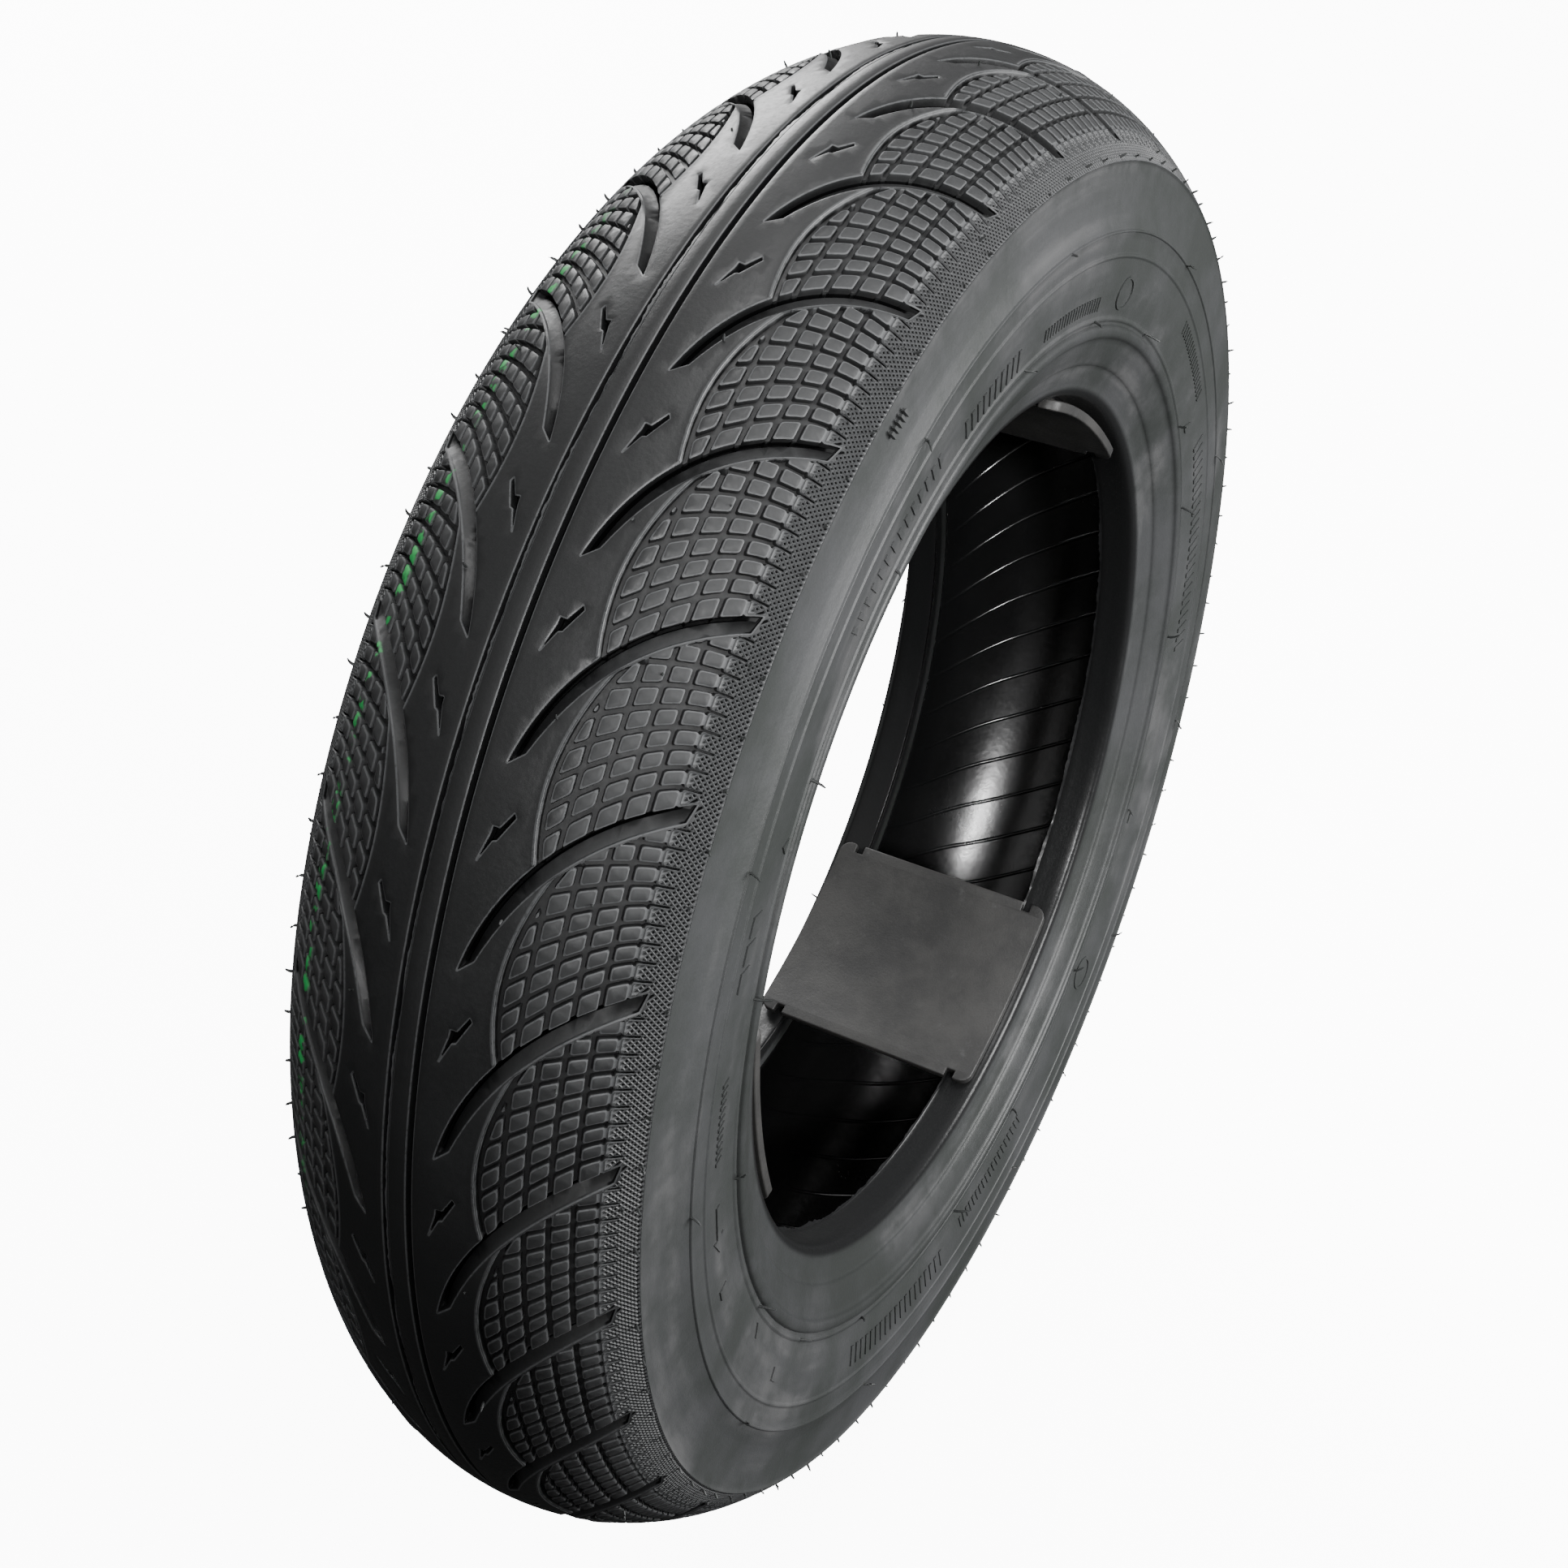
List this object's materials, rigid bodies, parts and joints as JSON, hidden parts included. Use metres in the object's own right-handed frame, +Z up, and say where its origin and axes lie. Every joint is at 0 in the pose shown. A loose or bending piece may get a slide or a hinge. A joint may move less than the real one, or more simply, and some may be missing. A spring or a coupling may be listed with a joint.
{
  "type": "tubeless scooter tyre",
  "caption": "Black tubeless scooter tyre with a directional tread of curved grooves and small blocks, held open between its beads by plastic spacers.",
  "frame": {"origin": "centre of the wheel, on the spin axis and midway between the beads", "axes": "+Y along the spin axis towards the left sidewall, +Z up, +X across the wheel"},
  "size_m": [0.434, 0.1014, 0.434],
  "materials": {
    "tread_rubber": "matt moulded rubber",
    "sidewall_rubber": "satin moulded rubber with light chalk marks",
    "chafer_rubber": "satin hard rubber",
    "liner_rubber": "glossy butyl rubber",
    "filler_rubber": "matt hard rubber",
    "ply_fabric": "rubberised nylon cord",
    "bead_steel": "bronze-coated wire",
    "wrap_rubber": "matt insulation rubber",
    "spacer_plastic": "mottled recycled plastic"
  },
  "bodies": {
    "tyre": {"tread_cap": "tread_rubber", "undertread": "filler_rubber", "carcass_ply_outer": "ply_fabric", "carcass_ply_inner": "ply_fabric", "inner_liner": "liner_rubber", "sidewall_left": "sidewall_rubber", "sidewall_right": "sidewall_rubber", "chafer_left": "chafer_rubber", "chafer_right": "chafer_rubber", "bead_filler_left": "filler_rubber", "bead_filler_right": "filler_rubber", "bead_wrap_left": "wrap_rubber", "bead_wrap_right": "wrap_rubber", "bead_wires_left": "bead_steel", "bead_wires_right": "bead_steel"},
    "bead_spacer_1": {"bead_spacer_1": "spacer_plastic"},
    "bead_spacer_2": {"bead_spacer_2": "spacer_plastic"},
    "bead_spacer_3": {"bead_spacer_3": "spacer_plastic"}
  },
  "joints": [
    {"name": "bead_spacer_1_pull_out", "type": "slide", "parent": "tyre", "child": "bead_spacer_1", "axis": [-0.3827, 0, 0.9239], "range_m": [0, 0.06]},
    {"name": "bead_spacer_2_pull_out", "type": "slide", "parent": "tyre", "child": "bead_spacer_2", "axis": [-0.6428, 0, -0.766], "range_m": [0, 0.06]},
    {"name": "bead_spacer_3_pull_out", "type": "slide", "parent": "tyre", "child": "bead_spacer_3", "axis": [0.9976, 0, 0.0698], "range_m": [0, 0.06]}
  ]
}
